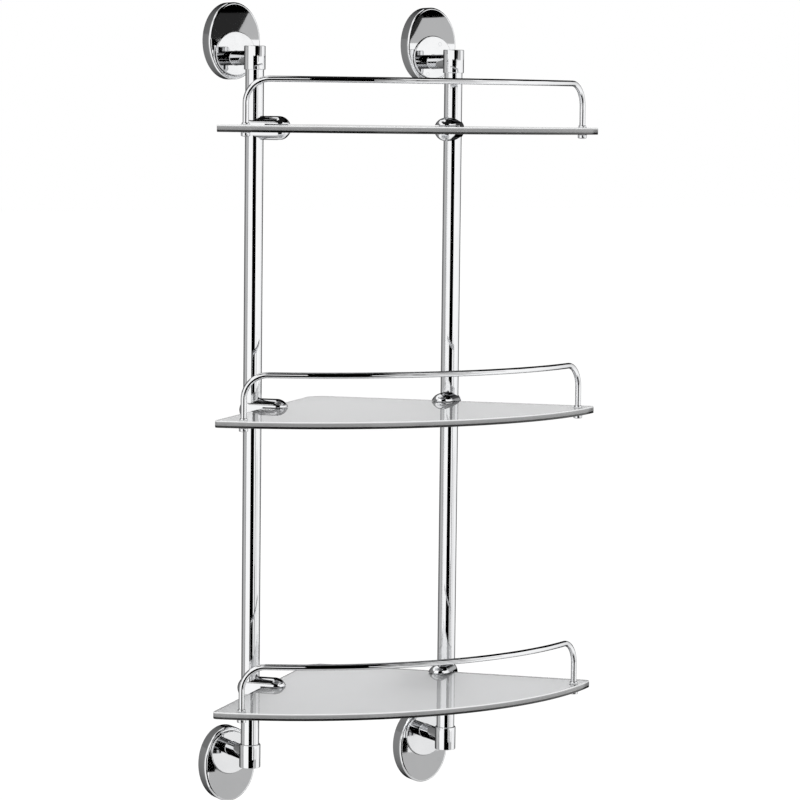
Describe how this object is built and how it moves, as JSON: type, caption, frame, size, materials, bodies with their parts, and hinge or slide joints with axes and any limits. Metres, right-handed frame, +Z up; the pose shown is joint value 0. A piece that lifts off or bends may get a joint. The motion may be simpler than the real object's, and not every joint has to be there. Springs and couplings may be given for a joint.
{
  "type": "glass corner shelf",
  "caption": "Wall-hung corner shelf: bowed glass tiers with wire rails, clipped to chrome tubes on swivelling oval-rosette brackets.",
  "frame": {"origin": "in the plane of the wall plates' back faces, midway between the tubes, level with the middle shelf", "axes": "+Z up along the tubes, +Y towards the room's corner, +X to the right as seen from the front"},
  "size_m": [0.3666, 0.2465, 0.705],
  "materials": {
    "chrome": "polished",
    "glass": "clear, polished edges",
    "soft": "soft, translucent",
    "steel": "plain"
  },
  "bodies": {
    "frame": {"tube_left": "chrome", "tube_right": "chrome"},
    "shelf_top": {"glass_top": "glass", "rail_top": "chrome", "rail_collars_top": "chrome", "rail_washers_top": "soft", "rail_nuts_top": "chrome", "clip_left_top": "chrome", "clip_right_top": "chrome", "clip_pad_left_top": "soft", "clip_pad_right_top": "soft", "clip_screws_top": "steel"},
    "shelf_middle": {"glass_middle": "glass", "rail_middle": "chrome", "rail_collars_middle": "chrome", "rail_washers_middle": "soft", "rail_nuts_middle": "chrome", "clip_left_middle": "chrome", "clip_right_middle": "chrome", "clip_pad_left_middle": "soft", "clip_pad_right_middle": "soft", "clip_screws_middle": "steel"},
    "shelf_bottom": {"glass_bottom": "glass", "rail_bottom": "chrome", "rail_collars_bottom": "chrome", "rail_washers_bottom": "soft", "rail_nuts_bottom": "chrome", "clip_left_bottom": "chrome", "clip_right_bottom": "chrome", "clip_pad_left_bottom": "soft", "clip_pad_right_bottom": "soft", "clip_screws_bottom": "steel"},
    "bracket_top_left": {"bracket_arm_top_left": "chrome", "rosette_top_left": "chrome", "wall_plate_top_left": "steel", "bracket_screws_top_left": "steel"},
    "bracket_top_right": {"bracket_arm_top_right": "chrome", "rosette_top_right": "chrome", "wall_plate_top_right": "steel", "bracket_screws_top_right": "steel"},
    "bracket_bottom_left": {"bracket_arm_bottom_left": "chrome", "rosette_bottom_left": "chrome", "wall_plate_bottom_left": "steel", "bracket_screws_bottom_left": "steel"},
    "bracket_bottom_right": {"bracket_arm_bottom_right": "chrome", "rosette_bottom_right": "chrome", "wall_plate_bottom_right": "steel", "bracket_screws_bottom_right": "steel"}
  },
  "joints": [
    {"name": "shelf_top_height", "type": "slide", "parent": "frame", "child": "shelf_top", "axis": [0, 0, 1], "range_m": [-0.06, 0.03]},
    {"name": "shelf_middle_height", "type": "slide", "parent": "frame", "child": "shelf_middle", "axis": [0, 0, 1], "range_m": [-0.06, 0.06]},
    {"name": "shelf_bottom_height", "type": "slide", "parent": "frame", "child": "shelf_bottom", "axis": [0, 0, 1], "range_m": [-0.03, 0.06]},
    {"name": "bracket_top_left_swivel", "type": "hinge", "parent": "frame", "child": "bracket_top_left", "pos_m": [-0.098, -0.0535, 0.304], "axis": [0, 0, 1], "continuous": true},
    {"name": "bracket_top_right_swivel", "type": "hinge", "parent": "frame", "child": "bracket_top_right", "pos_m": [0.098, -0.0535, 0.304], "axis": [0, 0, 1], "continuous": true},
    {"name": "bracket_bottom_left_swivel", "type": "hinge", "parent": "frame", "child": "bracket_bottom_left", "pos_m": [-0.098, -0.0535, -0.304], "axis": [0, 0, 1], "continuous": true},
    {"name": "bracket_bottom_right_swivel", "type": "hinge", "parent": "frame", "child": "bracket_bottom_right", "pos_m": [0.098, -0.0535, -0.304], "axis": [0, 0, 1], "continuous": true}
  ]
}
